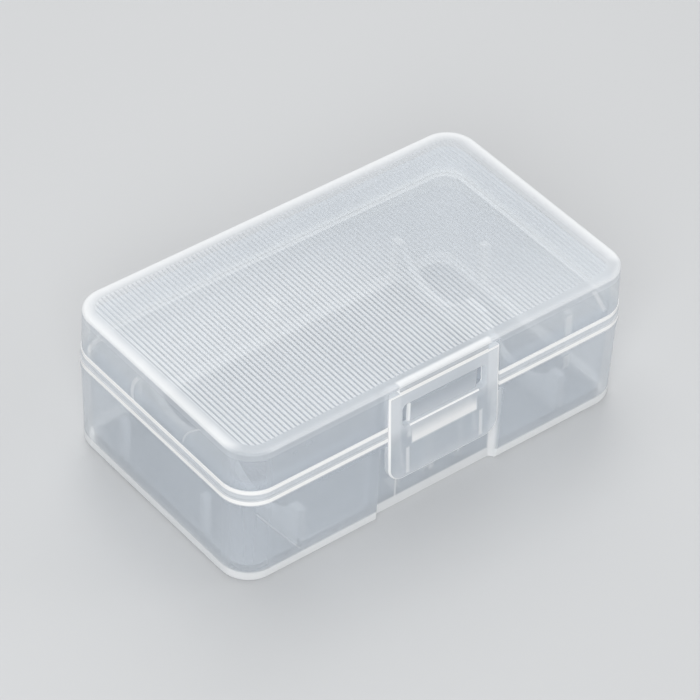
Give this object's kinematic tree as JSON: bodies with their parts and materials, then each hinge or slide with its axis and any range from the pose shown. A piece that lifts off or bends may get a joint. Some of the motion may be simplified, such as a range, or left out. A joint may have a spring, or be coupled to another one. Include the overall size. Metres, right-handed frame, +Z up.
{
  "type": "battery case",
  "caption": "Small rounded rectangular box with a hinged lid and a swinging front snap latch, with cradle ribs inside for cylindrical cells. Translucent frosted plastic.",
  "frame": {"origin": "middle of the flat underside of the tray", "axes": "+X along the length, -Y is the front where the latch is, +Z up"},
  "size_m": [0.0778, 0.047, 0.0266],
  "materials": {
    "tray_plastic": "frosted translucent moulded polypropylene, satin",
    "lid_plastic": "frosted translucent moulded polypropylene, satin, with a fine ribbed field on top",
    "latch_plastic": "frosted translucent moulded polypropylene, satin",
    "film_plastic": "thin flexed polypropylene film, satin"
  },
  "bodies": {
    "base": {"base_tray": "tray_plastic", "rear_hinge_film_left": "film_plastic", "rear_hinge_film_right": "film_plastic"},
    "lid": {"lid": "lid_plastic", "latch_hinge_film": "film_plastic"},
    "latch": {"latch": "latch_plastic"}
  },
  "joints": [
    {"name": "lid_hinge", "type": "hinge", "parent": "base", "child": "lid", "pos_m": [0, 0.02329, 0.0176], "axis": [-1, 0, 0], "range_deg": [0, 180], "deforming": ["rear_hinge_film_left", "rear_hinge_film_right"]},
    {"name": "latch_hinge", "type": "hinge", "parent": "lid", "child": "latch", "pos_m": [0, -0.02233, 0.02525], "axis": [-1, 0, 0], "range_deg": [0, 110], "deforming": ["latch_hinge_film"]}
  ]
}
